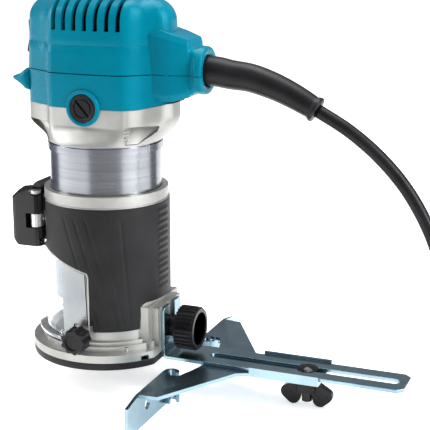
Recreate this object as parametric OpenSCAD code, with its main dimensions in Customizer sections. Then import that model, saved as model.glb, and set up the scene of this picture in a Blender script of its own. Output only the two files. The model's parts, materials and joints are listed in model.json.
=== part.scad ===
// Trim router: motor unit, round plunge-free base and straight guide.
// Origin: on the spindle axis at the underside of the base plate, +Z up,
// +X towards the cord and the guide arm, -X towards the locking lever.

/* [Motor barrel] */
// Outer diameter of the machined barrel
barrel_d = 65; // [60:0.5:70]
// Wall of the barrel
barrel_wall = 3; // [2.5:0.25:4]
// Length of the barrel below the neck
barrel_l = 87; // [80:1:95]
// Height of the motor above its lowest setting
motor_lift = 22.5; // [16:0.5:30]
// Further travel upwards from this setting
lift_more = 17.5; // [5:0.5:18]

/* [Head] */
// Height from the neck to the lower edge of the covers
head_low_h = 25.5; // [24:0.5:30]
// Height from the neck to the seam between the covers
seam_h = 45; // [42:0.5:50]
// Height from the neck to the top of the head
head_top_h = 86; // [80:1:92]
// Length of the head from its middle to the switch end
head_front = 46; // [43:0.5:50]
// Length of the head from its middle to the cord end
head_rear = 46; // [43:0.5:50]
// Half width of the head at the name panel
head_half_w = 26; // [25:0.5:30]
// Radius of the rounded top edge
head_edge_r = 13; // [8:0.5:15]
// Wall of the plastic covers
cover_wall = 2.5; // [2:0.25:3]
// Number of air slots on each side
vent_count = 7; // [5:1:8]
// Width of one air slot
vent_w = 2.8; // [2:0.2:3.4]

/* [Base] */
// Height of the base casting above the sole
base_h = 99.7; // [95:0.1:104]
// Outer diameter of the casting
base_d = 71.6; // [71.4:0.1:76]
// Gap between the barrel and the clamping bore
bore_gap = 0.3; // [0.25:0.05:0.4]
// Outer diameter of the sole flange
flange_d = 91; // [88:0.5:96]
// Thickness of the flange
flange_t = 4.5; // [4:0.25:6]
// Thickness of the black base plate
plate_t = 4.4; // [3.5:0.1:5]
// Diameter of the opening in the base plate
plate_hole_d = 32; // [26:0.5:36]
// Thickness of the rubber grip
grip_t = 1.4; // [1:0.1:1.8]
// Distance from the axis to the flat guide seat
seat_x = 39.5; // [38.5:0.25:41]

/* [Depth drive] */
// Module of the rack and pinion teeth
gear_m = 0.8; // [0.8:0.1:0.9]
// Number of pinion teeth
pinion_z = 10; // [10:1:12]
// Height of the pinion axis
pinion_h = 64; // [58:1:68]

/* [Guide] */
// Width of the guide arm
arm_w = 24.6; // [22:0.2:26]
// Thickness of the arm and guide plate
strip_t = 2; // [1.5:0.1:2.5]
// Length of the arm beyond the guide seat
arm_l = 144; // [130:1:160]
// Position of the fence face along the arm
fence_x = 50; // [48:0.5:58]
// Half length of the whole fence
fence_half = 80; // [70:1:95]
// Depth of the fence below the sole
fence_drop = 20; // [15:0.5:24]
// Diameter of the ribbed clamp knob
knob_d = 26; // [22:0.5:28]
// Width of the adjusting slots
slot_w = 6.6; // [6.4:0.1:7]

/* [Cord] */
// Diameter of the mains lead
cord_d = 7.5; // [6.5:0.1:8]
// Middle diameter of the stored coil
coil_d = 90; // [80:1:95]
// Turns side by side in the coil
coil_wide = 4; // [3:1:4]
// Layers of turns in the coil
coil_high = 2; // [2:1:3]

/* [Hidden] */
$fn = 64;
eps = 0.01;

// colours
c_teal = [0.0, 0.42, 0.50];
c_black = [0.05, 0.05, 0.055];
c_rubber = [0.13, 0.13, 0.14];
c_cast = [0.78, 0.78, 0.76];
c_steel = [0.72, 0.74, 0.76];
c_zinc = [0.60, 0.70, 0.74];
c_brass = [0.80, 0.65, 0.30];
c_copper = [0.72, 0.40, 0.20];
c_clear = [0.80, 0.88, 0.92, 0.35];

// motor unit heights
barrel_r = barrel_d / 2;
barrel_ri = barrel_r - barrel_wall;
neck_z = base_h + 0.3 + motor_lift;
barrel_z = neck_z - barrel_l;
head_low_z = neck_z + head_low_h;
seam_z = neck_z + seam_h;
head_top_z = neck_z + head_top_h;
brush_z = head_low_z + 0.5;
boss_z = seam_z + 2;
boss_r = 13.6;
boss_end = head_rear + 19;
tail_z = head_low_z + 3.5;
lock_z = neck_z + 10.4;

// base
base_r = base_d / 2;
clamp_r = barrel_r + bore_gap;
grip_r = base_r + grip_t;
flange_r = flange_d / 2;
flange_z = plate_t + flange_t;
ledge_z = flange_z + 3.3;
ledge_r = flange_r - 5.5;
grip_top = base_h - 6.8;
window_top = 65;

// clamp and lever
bolt_x = -(base_r + 3.9);
bolt_z = 77.5;
ear_y = 8.4;
lever_z0 = 62;
lever_z1 = 93;
pin_y = -14.3;
hub_r = 4.4;

// rack and pinion: the pitch line of the rack lies just inside the barrel's surface
tooth_out = 0.6 * gear_m;
tooth_in = 0.9 * gear_m;
pitch_r = gear_m * pinion_z / 2;
rack_line = barrel_r - 0.2 - tooth_out;
pinion_y = rack_line + pitch_r + 0.1;
tooth_pitch = PI * gear_m;
teeth_down = ceil((lift_more + 3.5) / tooth_pitch);
teeth_up = ceil((motor_lift + 3.5) / tooth_pitch);
rack_low = pinion_h - teeth_down * tooth_pitch - 1;
rack_high = pinion_h + teeth_up * tooth_pitch + 1;

// guide
arm_top = 1.9;
arm_bot = arm_top - strip_t;
holder_x1 = seat_x + strip_t;
arm_end = holder_x1 + arm_l - 2;
clamp_z = 17;
screw_r = 3;
guide_top = arm_bot - 0.1;
guide_bot = guide_top - strip_t;
chan_x0 = 95;
chan_x1 = 136;
bolt_px = 125.5;

// cord: chosen points from the guard to the coil, and the surface it lies on
floor_z = -20.4;
cord_r = cord_d / 2;
lie_z = floor_z + cord_r;
route = [
    [128, 0, 151], [146, 0, 141], [163, 0, 128], [178, 0, 112], [190, 0, 93],
    [199, 0, 72], [207, 0, 50], [216, -1, 28], [229, -3, 9], [247, -6, -5],
    [270, -8.5, -13], [293, -9.2, lie_z], [314, -9.2, lie_z]
];
tail = [[314, 103, -9.2], [301, 104, -8.6], [290, 104, -7], [279, 104, -4.4], [267, 104, -2.9]];
coil_c = [314, 47];
coil_ro = coil_d / 2 + coil_wide * cord_r;
coil_ri = coil_d / 2 - coil_wide * cord_r;
coil_h = coil_high * cord_d;
plug_at = [212, 104];

// ---------- shared shapes ----------

// ring around Z between two heights
module ring(ro, ri, z0, z1) {
    difference() {
        translate([0, 0, z0]) cylinder(r = ro, h = z1 - z0, $fn = 96);
        translate([0, 0, z0 - 1]) cylinder(r = ri, h = z1 - z0 + 2, $fn = 96);
    }
}

// cylinder along X from x0 to x1
module rod_x(r, x0, x1, n = 64) {
    translate([x0, 0, 0]) rotate([0, 90, 0]) cylinder(r = r, h = x1 - x0, $fn = n);
}

// cylinder along Y from y0 to y1
module rod_y(r, y0, y1, n = 64) {
    translate([0, y0, 0]) rotate([-90, 0, 0]) cylinder(r = r, h = y1 - y0, $fn = n);
}

// box between two corners
module block(a, b) {
    translate(a) cube(b - a);
}

// points of an arc in degrees
function arc(c, r, a0, a1, n) =
    [for (i = [0:n]) let (a = a0 + (a1 - a0) * i / n) c + r * [cos(a), sin(a)]];

// mirrored list of points in -Y order
function flip_y(p) = [for (i = [len(p) - 1:-1:0]) [p[i][0], -p[i][1]]];

// plan of the head: half outline from the switch end to the cord end
function head_half(front, rear, w) = [
    [-front, 4], [-front + 1, 9], [-front + 6, w - 12], [-front + 14, w - 7.5],
    [-25, w - 4.5], [-22.5, w - 0.8], [-11, w + 0.4], [0, w + 0.8], [11, w + 0.4],
    [22.5, w - 0.8], [32.5, w - 9.5], [rear - 4, w - 15], [rear, w - 21]
];
function head_plan(front, rear, w) =
    let (h = head_half(front, rear, w)) concat(flip_y(h), h);

// solid head form between two heights, shrunk by `inset`, with a rounded top edge
module head_form(z0, z1, inset, edge) {
    hull() {
        translate([0, 0, z0]) linear_extrude(0.1)
            offset(delta = -inset) polygon(head_plan(head_front, head_rear, head_half_w));
        for (a = [0:18:90])
            translate([0, 0, z1 - edge + edge * sin(a) - 0.1]) linear_extrude(0.1)
                offset(delta = -inset - edge * (1 - cos(a)) - 1.5)
                    polygon(head_plan(head_front, head_rear, head_half_w));
    }
}

// prism of the head's plan with straight walls
module head_prism(z0, z1, inset) {
    translate([0, 0, z0]) linear_extrude(z1 - z0)
        offset(delta = -inset) polygon(head_plan(head_front, head_rear, head_half_w));
}

// block that carries the cord boss, as a solid, between two heights
module cord_block(z0, z1, inset) {
    intersection() {
        union() {
            hull() {
                block([head_rear - 16, -13 + inset, tail_z + inset],
                      [boss_end - 7 - inset, 13 - inset, boss_z + 15 - inset]);
                block([head_rear - 16, -7 + inset, tail_z + inset],
                      [head_rear - 2 - inset, 7 - inset, boss_z + 21 - inset]);
            }
            translate([0, 0, boss_z]) rod_x(boss_r - inset, head_rear - 10, boss_end - inset);
        }
        block([0, -40, z0], [90, 40, z1]);
    }
}

// ---------- motor unit ----------

module motor_housing() color(c_cast) {
    difference() {
        union() {
            // machined barrel with its neck ring
            ring(barrel_r, barrel_ri, barrel_z, neck_z + 6);
            ring(barrel_r + 1, barrel_ri, neck_z, neck_z + 4);
            // nose with the lower bearing seat
            ring(barrel_r - 1, 14, barrel_z, barrel_z + 3);
            ring(17, 14, barrel_z, barrel_z + 11);
            // flared bell up to the covers
            difference() {
                hull() {
                    translate([0, 0, neck_z + 5]) cylinder(r = barrel_r + 1, h = 1, $fn = 32);
                    head_prism(head_low_z - 10, head_low_z, 0.6);
                }
                hull() {
                    translate([0, 0, neck_z + 4]) cylinder(r = barrel_ri, h = 1.2, $fn = 32);
                    head_prism(head_low_z - 10, head_low_z + 1, 3.6);
                }
            }
        }
        // cooling slots in the nose
        for (a = [0:45:315])
            rotate([0, 0, a]) translate([19.5, -3, barrel_z - 1]) cube([8, 6, 5]);
        // recesses under the four corners of the bell
        for (sx = [-1, 1], sy = [-1, 1])
            translate([sx * 39, sy * 15.5, neck_z + 9.5])
                rotate([0, 0, sx * sy * -42]) translate([-9, -5, 0]) cube([18, 10, 6.5]);
        // brush tube clearance
        translate([0, 0, brush_z]) rod_y(10.6, -40, 40);
        // hole of the shaft lock button
        translate([0, 0, lock_z]) rod_y(4.1, 10, 60);
        // rack slot
        block([-3.6, barrel_ri - 4, rack_low - 0.1], [3.6, barrel_r + 4, rack_high + 0.1]);
        // screw holes with room for the heads
        for (p = cover_screws) translate([p[0], p[1], 0]) {
            cylinder(r = 1.6, h = head_low_z + 20);
            translate([0, 0, head_low_z - 13]) cylinder(r = 3.2, h = 7.4);
        }
    }
}

cover_screws = [[-31, -12.7], [-31, 12.7], [33, -9.5], [33, 9.5]];

module lower_cover() color(c_teal) {
    difference() {
        union() {
            difference() {
                union() {
                    head_prism(head_low_z + 0.15, seam_z, 0);
                    cord_block(tail_z, seam_z, 0);
                }
                head_prism(head_low_z - 1, seam_z + 1, cover_wall);
                cord_block(tail_z + 2, seam_z + 1, cover_wall);
            }
            // web with the upper bearing seat
            difference() {
                head_prism(seam_z - 9, seam_z - 2, cover_wall - 0.2);
                translate([0, 0, seam_z - 10]) cylinder(r = 6, h = 20);
                for (sx = [-1, 1]) translate([sx * 22, 0, seam_z - 10]) cylinder(r = 6.5, h = 20);
            }
            // brush tube rings
            for (s = [-1, 1]) scale([1, s, 1]) translate([0, 0, brush_z])
                difference() {
                    rod_y(10.2, 15, head_half_w + 2.4);
                    rod_y(8.1, 14, head_half_w + 4);
                }
            // finger ledge below the rocker
            hull() {
                block([-head_front - 1, -13, seam_z - 11], [-head_front + 3, 13, seam_z - 2.5]);
                block([-head_front - 9.5, -9, seam_z - 7.5], [-head_front - 8, 9, seam_z - 5.5]);
            }
        }
        // bearing seat and switch pocket
        translate([0, 0, seam_z - 9.5]) cylinder(r = 11, h = 7.02);
        // guard socket in the boss
        translate([0, 0, boss_z]) rod_x(8.55, boss_end - 12, boss_end + 1);
        for (s = [-1, 1]) translate([0, 0, brush_z]) rod_y(8.1, s > 0 ? 14 : -40, s > 0 ? 40 : -14);
        for (p = cover_screws) translate([p[0], p[1], 0]) cylinder(r = 1.75, h = 300);
        // seat and screw holes of the cord clamp
        block([head_rear - 8.4, -10.6, boss_z - 7.7], [head_rear, 10.6, boss_z]);
        for (s = [-1, 1]) translate([head_rear - 4.5, s * 8, boss_z - 12.2]) cylinder(r = 1.65, h = 20);
    }
}

vent_pitch = 6.6;
module top_cover() color(c_teal) {
    difference() {
        union() {
            difference() {
                union() {
                    head_form(seam_z + 0.1, head_top_z, 0, head_edge_r);
                    cord_block(seam_z + 0.1, seam_z + 60, 0);
                }
                head_form(seam_z - 1, head_top_z - cover_wall, cover_wall, head_edge_r);
                cord_block(seam_z - 1, seam_z + 60, cover_wall);
            }
            // screw pillars
            intersection() {
                head_form(seam_z + 0.1, head_top_z, 1, head_edge_r);
                for (p = cover_screws) translate([p[0], p[1], seam_z + 0.1])
                    cylinder(r = 3.6, h = head_top_z - seam_z);
            }
        }
        // air slots that run up and over the rounded edge
        for (i = [0:vent_count - 1], s = [-1, 1])
            translate([(i - (vent_count - 1) / 2) * vent_pitch + 1, 0, 0])
                block([-vent_w / 2, s > 0 ? 13 : -40, head_top_z - 19],
                      [vent_w / 2, s > 0 ? 40 : -13, head_top_z + 5]);
        // rocker opening
        block([-head_front - 5, -7.3, seam_z + 5.9], [-head_front + 8, 7.3, seam_z + 29.6]);
        // speed dial opening
        block([dial_x - 8, -2.6, head_top_z - 8], [dial_x + 8, 2.6, head_top_z + 5]);
        translate([0, 0, boss_z]) rod_x(8.55, boss_end - 12, boss_end + 1);
        for (p = cover_screws) translate([p[0], p[1], seam_z - 1]) cylinder(r = 1.6, h = 20);
    }
}

module housing_screws() color(c_steel)
    for (p = cover_screws) translate([p[0], p[1], 0]) {
        translate([0, 0, head_low_z - 6]) cylinder(r = 1.5, h = seam_z + 16 - head_low_z + 6);
        translate([0, 0, head_low_z - 9]) cylinder(r = 3, h = 3.2);
    }

module brush_caps() color(c_black)
    for (s = [-1, 1]) scale([1, s, 1]) translate([0, 0, brush_z])
        difference() {
            union() {
                rod_y(8, head_half_w - 3, head_half_w + 2);
                rod_y(5, head_half_w - 8, head_half_w - 2.5);
            }
            block([-6, head_half_w + 0.8, -0.8], [6, head_half_w + 3, 0.8]);
            difference() {
                rod_y(5.4, head_half_w + 1.4, head_half_w + 3);
                rod_y(4.8, head_half_w, head_half_w + 4);
            }
        }

module brush_holders() color(c_brass)
    for (s = [-1, 1]) scale([1, s, 1])
        difference() {
            block([-4.5, 12.6, brush_z - 3.4], [4.5, head_half_w - 8.2, brush_z + 3.4]);
            block([-3.25, 12, brush_z - 2.25], [3.25, head_half_w, brush_z + 2.25]);
        }

module brushes() color([0.2, 0.2, 0.2])
    for (s = [-1, 1]) scale([1, s, 1])
        block([-3.1, 10.15, brush_z - 2.1], [3.1, head_half_w - 12, brush_z + 2.1]);

// small coil of wire as stacked rings along Y
module brush_springs() color(c_steel)
    for (s = [-1, 1]) scale([1, s, 1]) translate([0, 0, brush_z])
        for (i = [0:3])
            translate([0, head_half_w - 11.5 + i * 0.95, 0]) rotate([-90, 0, 0])
                rotate_extrude($fn = 32) translate([1.6, 0]) square([0.5, 0.5]);

stator_z = barrel_z + 29;
stator_h = 42;
stator_ri = 16;
stator_ro = barrel_ri - 0.9;
module field_core() color([0.35, 0.35, 0.37])
    difference() {
        ring(stator_ro, stator_ri, stator_z, stator_z + stator_h);
        for (s = [-1, 1]) block([s > 0 ? 10 : -23.4, -12, stator_z - 1],
                                [s > 0 ? 23.4 : -10, 12, stator_z + stator_h + 1]);
        block([-3.8, barrel_ri - 4.5, stator_z - 1], [3.8, 40, stator_z + stator_h + 1]);
    }

module field_coils() color(c_copper)
    for (s = [-1, 1])
        difference() {
            block([s > 0 ? 17 : -23, -11.6, stator_z - 7], [s > 0 ? 23 : -17, 11.6, stator_z + stator_h + 7]);
            block([s > 0 ? 16 : -26, -6, stator_z + 1], [s > 0 ? 26 : -16, 6, stator_z + stator_h - 1]);
        }

module air_baffle() color(c_black)
    difference() {
        ring(barrel_ri - 0.2, 19, stator_z - 10, stator_z - 8.2);
        block([-4, barrel_ri - 5, stator_z - 11], [4, 40, stator_z]);
    }

// ball bearing with two races and a row of balls
module bearing(ri, ro, h, z0) {
    rm = (ri + ro) / 2;
    t = (ro - ri) / 3.4;
    ring(ro, ro - t, z0, z0 + h);
    ring(ri + t, ri, z0, z0 + h);
    for (i = [0:8]) rotate([0, 0, i * 40]) translate([rm, 0, z0 + h / 2])
        sphere(r = (ro - ri) / 2 - t - 0.03, $fn = 24);
}

module upper_bearing() color(c_steel) bearing(4.03, 10.98, 7, seam_z - 9.5);

module lower_bearing() color(c_steel) bearing(6.03, 13.98, 8, barrel_z + 3);

module depth_rack() color(c_steel)
    translate([-3.5, 0, 0]) rotate([90, 0, 90]) linear_extrude(7)
        polygon(concat(
            [[barrel_ri + 0.1, rack_low], [barrel_ri + 0.1, rack_high], [rack_line - tooth_in, rack_high]],
            [for (k = [teeth_up - 1:-1:-teeth_down], q = rack_tooth(pinion_h + (k + 0.5) * tooth_pitch)) q],
            [[rack_line - tooth_in, rack_low]]));

// one straight tooth of the rack, upper flank first
function rack_tooth(z) =
    let (h = tooth_pitch / 4, k = tan(25))
    [[rack_line - tooth_in, z + h + tooth_in * k], [rack_line + tooth_out, z + h - tooth_out * k],
     [rack_line + tooth_out, z - h + tooth_out * k], [rack_line - tooth_in, z - h - tooth_in * k]];

module switch_body() color(c_black)
    difference() {
        block([-head_front + 11, -8.6, seam_z + 5], [-head_front + 24, 8.6, seam_z + 30]);
        translate([rocker_x, 0, rocker_z]) rotate([-90, 0, 0])
            translate([0, 0, -7.2]) cylinder(r = 11.2, h = 14.4);
    }

// rocker cap on a pivot along Y
rocker_x = -head_front + 8.5;
rocker_z = seam_z + 17.75;
module switch_rocker() color(c_black)
    translate([rocker_x, 0, rocker_z])
        difference() {
            translate([0, -6.9, 0]) rotate([-90, 0, 0]) linear_extrude(13.8)
                polygon(concat([[-7.6, 9.6], [-8.4, 8.4]], [[-6.6, 0.6]],
                               [[-6.9, -8.6], [-6, -9.8]],
                               arc([0, 0], 10.6, -105, 105, 14)));
            for (k = [-1:1]) translate([-8.6, 0, -6 + k * 1.6]) cube([2, 9, 0.7], center = true);
        }

module speed_board() color([0.1, 0.35, 0.15]) {
    difference() {
        block([-16, -13, seam_z + 8], [20, 13, seam_z + 9.6]);
        for (sx = [-13, 17], sy = [-10, 10]) translate([sx, sy, seam_z]) cylinder(r = 1.2, h = 20);
    }
    color([0.1, 0.1, 0.1]) block([-6, -8, seam_z + 9.6], [4, 8, seam_z + 17]);
    // cheeks and pin of the speed dial
    color([0.2, 0.2, 0.2]) {
        for (s = [-1, 1]) translate([0, s * 3.6, 0])
            block([dial_x - 4, -1, seam_z + 9.6], [dial_x + 4, 1, dial_z + 3]);
        block([dial_x - 10, -4.6, seam_z + 8.6], [dial_x + 4, 4.6, seam_z + 10.6]);
        translate([dial_x, 0, dial_z]) rod_y(1.5, -4.5, 4.5);
    }
}

dial_r = 9;
dial_x = 22;
dial_z = head_top_z - 7.4;
module speed_dial() color(c_black)
    translate([dial_x, 0, dial_z])
        difference() {
            rotate([90, 0, 0]) translate([0, 0, -2.1]) linear_extrude(4.2)
                polygon([for (i = [0:71]) let (r = i % 2 == 0 ? dial_r : dial_r - 0.5)
                    r * [cos(i * 5), sin(i * 5)]]);
            rod_y(1.56, -5, 5);
        }

module cord_clamp() color(c_black)
    difference() {
        block([head_rear - 8, -10.3, boss_z - 7.6], [head_rear - 1, 10.3, boss_z - 4]);
        translate([0, 0, boss_z]) rod_x(cord_r + 0.1, 0, 100);
        for (s = [-1, 1]) translate([head_rear - 4.5, s * 8, 0]) cylinder(r = 1.6, h = 300);
    }

module clamp_screws() color(c_steel)
    for (s = [-1, 1]) translate([head_rear - 4.5, s * 8, 0]) {
        translate([0, 0, boss_z - 12]) cylinder(r = 1.55, h = 8);
        translate([0, 0, boss_z - 4]) cylinder(r = 2.5, h = 2);
    }

// tapered strain relief: a bent tube along the first stretch of the lead
guard_path = [
    [boss_end - 11, 0, boss_z], [boss_end + 4, 0, boss_z - 0.3], [78, 0, boss_z - 1.6],
    [90, 0, 167.2], [102, 0, 163.4], [112, 0, 159.4], [121, 0, 154.8], [128, 0, 151]
];
module cord_guard() color(c_black) {
    sweep(guard_path, [8.5, 8.5, 8.2, 7.8, 7.4, 7, 6.6, 6.4], 16);
    translate([128, 0, 151]) rotate([0, 90 + 29.7, 0]) translate([0, 0, -3.4])
        cylinder(r = 7.4, h = 3.4);
}

// ---------- swept tubes ----------

function unit(v) = v / norm(v);
function tangent(p, i) = unit(p[min(i + 1, len(p) - 1)] - p[max(i - 1, 0)]);
function loop_at(p, i, r, n) =
    let (t = tangent(p, i), a = unit(cross(t, [0, 1, 0])), b = cross(a, t))
    [for (k = [0:n - 1]) p[i] + r * (cos(360 * k / n) * a + sin(360 * k / n) * b)];

// closed tube along points p with radius r[i] and n sides
module sweep(p, r, n) {
    m = len(p);
    pts = [for (i = [0:m - 1]) each loop_at(p, i, r[i], n)];
    sides = [for (i = [0:m - 2], k = [0:n - 1])
        [i * n + k, i * n + (k + 1) % n, (i + 1) * n + (k + 1) % n, (i + 1) * n + k]];
    polyhedron(pts, concat([[for (k = [n - 1:-1:0]) k]], sides,
                           [[for (k = [0:n - 1]) (m - 1) * n + k]]));
}

// point on a smooth curve through p between points i and i+1
function smooth_at(p, i, t) =
    let (a = p[max(i - 1, 0)], b = p[i], c = p[i + 1], d = p[min(i + 2, len(p) - 1)])
    0.5 * (2 * b + (c - a) * t + (2 * a - 5 * b + 4 * c - d) * t * t
           + (3 * b - a - 3 * c + d) * t * t * t);
function smooth_path(p, k) =
    concat([for (i = [0:len(p) - 2], j = [0:k - 1]) smooth_at(p, i, j / k)], [p[len(p) - 1]]);

module cord() color(c_black)
    let (p = smooth_path(route, 2)) sweep(p, [for (q = p) cord_r], 10);

module cord_coil() color(c_black)
    translate([coil_c[0], coil_c[1], floor_z])
        rotate_extrude($fn = 72)
            polygon([[coil_ri, 2], [coil_ri + 2, 0], [coil_ro - 2, 0], [coil_ro, 2],
                     [coil_ro, coil_h - 2], [coil_ro - 2, coil_h], [coil_ri + 2, coil_h],
                     [coil_ri, coil_h - 2]]);

module cord_tail() color(c_black)
    let (p = smooth_path(tail, 2)) sweep(p, [for (q = p) cord_r], 10);

// round two-pin plug lying on its side
plug_r = 17.5;
module plug() color(c_black)
    translate([plug_at[0], plug_at[1], floor_z + plug_r]) {
        rotate([0, 90, 0]) rotate_extrude($fn = 64)
            polygon([[0, 0], [plug_r - 1, 0], [plug_r, 1], [plug_r, 9], [plug_r - 2.5, 12],
                     [13, 16], [10.5, 22], [10, 30], [8, 36], [6, 44], [5.2, 56], [0, 56]]);
        for (s = [-1, 1]) translate([0, s * 9.5, 0]) color(c_steel) rod_x(2.4, -19, 0.5, 32);
    }

// ---------- rotating group ----------

nose_z = barrel_z - 4;
module spindle() color(c_steel)
    difference() {
        union() {
            translate([0, 0, nose_z - 11]) cylinder(r = 7, h = 15);
            translate([0, 0, barrel_z]) cylinder(r = 6, h = 12);
            translate([0, 0, barrel_z + 12]) cylinder(r = 5, h = neck_z + 4 - barrel_z - 12);
            ring(9.5, 1, neck_z + 6, neck_z + 18);
            translate([0, 0, neck_z + 3]) cylinder(r = 4, h = seam_z - 1 - neck_z - 3);
        }
        // collet seat and lock hole
        translate([0, 0, nose_z - 12]) cylinder(r = 5.2, h = 14);
        translate([0, 0, lock_z]) rod_y(2.6, -12, 12, 32);
        for (s = [-1, 1]) block([-9, s > 0 ? 5.6 : -9, nose_z - 1], [9, s > 0 ? 9 : -5.6, nose_z + 3.9]);
    }

module armature_core() color([0.4, 0.4, 0.42]) {
    difference() {
        ring(15.4, 5, stator_z, stator_z + stator_h);
        for (a = [0:30:330]) rotate([0, 0, a])
            block([11, -1, stator_z - 1], [16, 1, stator_z + stator_h + 1]);
    }
    color(c_copper) {
        ring(13, 5, stator_z - 6, stator_z);
        ring(13, 5, stator_z + stator_h, stator_z + stator_h + 6);
    }
}

module commutator() color(c_copper)
    difference() {
        ring(10, 4, brush_z - 6.5, brush_z + 6.5);
        for (a = [0:15:345]) rotate([0, 0, a])
            block([9.2, -0.25, brush_z - 7], [11, 0.25, brush_z + 7]);
    }

fan_z = barrel_z + 14;
module fan() color(c_black) {
    ring(24, 5, fan_z + 3, fan_z + 4.2);
    ring(8, 5, fan_z - 1, fan_z + 3);
    for (a = [0:30:330]) rotate([0, 0, a])
        block([7, -0.6, fan_z - 0.5], [23.5, 0.6, fan_z + 3.5]);
}

module collet_cone() color(c_steel)
    difference() {
        union() {
            translate([0, 0, nose_z - 14]) cylinder(r = 5.1, h = 15);
            translate([0, 0, nose_z - 14]) cylinder(r = 6.2, h = 2.5);
        }
        translate([0, 0, nose_z - 20]) cylinder(r = 3, h = 30);
        for (a = [0:60:300]) rotate([0, 0, a])
            block([2.4, -0.3, nose_z - 15], [8, 0.3, nose_z - 4]);
    }

module collet_nut() color(c_steel)
    difference() {
        union() {
            translate([0, 0, nose_z - 11]) cylinder(d = 17 / cos(30), h = 9, $fn = 6);
            translate([0, 0, nose_z - 15.5]) cylinder(r = 8.4, h = 5);
        }
        translate([0, 0, nose_z - 11.2]) cylinder(r = 7.3, h = 12);
        translate([0, 0, nose_z - 14.3]) cylinder(r = 6.5, h = 4);
        translate([0, 0, nose_z - 17]) cylinder(r = 4.2, h = 5);
    }

// ---------- shaft lock ----------

button_y = barrel_r + 1;
module lock_button() color(c_black)
    translate([0, 0, lock_z]) {
        rod_y(3.8, 20, button_y);
        rod_y(2.3, 11, 20.5, 32);
        rod_y(4.9, 20, 21.4);
    }

module lock_spring() color(c_steel)
    translate([0, 0, lock_z])
        for (i = [0:3]) translate([0, 12.6 + i * 0.85, 0]) rotate([-90, 0, 0])
            rotate_extrude($fn = 32) translate([2.7, 0]) square([0.7, 0.7]);

// ---------- base ----------

// window outline in the XZ plane, cut through both sides
module window_prism(g, x0) {
    rotate([90, 0, 0]) linear_extrude(200, center = true)
        polygon([[-80, ledge_z + g], [-80, window_top - g], [-27.3 - g, window_top - g],
                 [-8.3 - g, window_top - 6.2 - g], [x0 - 1.3 - g, window_top - 10 - g],
                 [x0 - g, ledge_z + g]]);
}

module tool_base() color(c_cast)
    difference() {
        union() {
            ring(base_r, clamp_r, flange_z, base_h);
            ring(base_r + 0.6, clamp_r, base_h - 6.2, base_h);
            intersection() {
                union() {
                    ring(flange_r, clamp_r, plate_t, flange_z);
                    ring(ledge_r, clamp_r, flange_z - eps, ledge_z);
                    ring(ledge_r - 2.2, clamp_r, ledge_z - eps, ledge_z + 2);
                }
                block([-60, -60, 0], [seat_x, 60, 30]);
            }
            // seat for the guide holder
            difference() {
                union() {
                    block([28, -16, plate_t], [seat_x, 16, 32]);
                    block([26, -21, plate_t], [seat_x - 4, 21, 33.5]);
                }
                cylinder(r = clamp_r, h = 60);
            }
            // clamping ears
            difference() {
                block([bolt_x - 5, -ear_y, lever_z0 + 2], [-30, ear_y, lever_z1 - 1]);
                cylinder(r = clamp_r + 0.5, h = 200);
            }
            // housing of the depth screw
            difference() {
                block([-15, base_r - 6, pinion_h - 8], [13, pinion_y + 6.4, pinion_h + 8]);
                cylinder(r = clamp_r, h = 200);
            }
            // boss of the deflector screw
            translate([0, 0, clamp_z + 1]) rotate([0, 0, deflector_a]) rod_x(5.4, 33.6, grip_r + 1.2);
        }
        window_prism(0, -12);
        block([-60, -1.25, window_top - 10], [-25, 1.25, base_h + 5]);
        translate([bolt_x, 0, bolt_z]) rod_y(2.7, -30, 30);
        // pocket of the pinion and its bore
        block([-4, base_r - 6, pinion_h - 5.4], [4, pinion_y + 5, pinion_h + 5.4]);
        translate([0, pinion_y, pinion_h]) rod_x(2.35, -30, 11);
        // threaded seat of the clamp screw
        translate([0, 0, clamp_z]) rod_x(screw_r + 0.05, 26, 60);
        translate([0, 0, clamp_z + 1]) rotate([0, 0, deflector_a]) rod_x(2.05, 20, 60);
        // notch in the flange
        translate([36.6, -28, 4]) rotate([0, 0, -37]) cube([14, 5, 6], center = true);
        // screw holes of the sole
        for (a = plate_screw_a) rotate([0, 0, a]) translate([plate_screw_r, 0, 0]) cylinder(r = 1.7, h = ledge_z - 0.5);
    }

deflector_a = -88;
plate_screw_a = [50, 130, 230, 310];
plate_screw_r = 38.5;

module grip_cover() color(c_rubber)
    difference() {
        union() {
            ring(grip_r, base_r, flange_z + 11.3, grip_top);
            // ribbed strip on the cord side
            for (k = [0:12]) intersection() {
                ring(grip_r + 0.4, base_r + 0.2, 42 + k * 3.8, 44 + k * 3.8);
                rotate([0, 0, -6]) block([30, -5, 40], [45, 11, 95]);
            }
        }
        translate([0, 0, -1]) cylinder(r = base_r, h = 200);
        // window and bare lever side
        rotate([90, 0, 0]) linear_extrude(200, center = true)
            polygon([[-80, 5], [-80, 110], [-27.3, 110], [-27.3, window_top],
                     [-8.3, window_top - 6.2], [4.2, window_top - 10], [5.5, 11.5], [5.5, 5]]);
        // step above the guide seat
        rotate([90, 0, 0]) linear_extrude(200, center = true)
            polygon([[30.5, 5], [32.6, 35.5], [60, 35.5], [60, 5]]);
        // opening around the depth screw housing
        block([-40, 20, pinion_h - 12], [14, 60, pinion_h + 12]);
        // clear of the deflector screw's boss
        translate([0, 0, clamp_z + 1]) rotate([0, 0, deflector_a]) rod_x(5.7, 30, 50);
        // clear of the guide seat
        block([25, -21.2, 0], [60, 21.2, 33.8]);
        // shallow grooves
        for (a = [-74, -68, -40, -34, 74, 68, 40, 34]) rotate([0, 0, a])
            block([grip_r - 0.5, -0.5, flange_z + 16], [grip_r + 1, 0.5, grip_top - 8]);
    }

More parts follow.
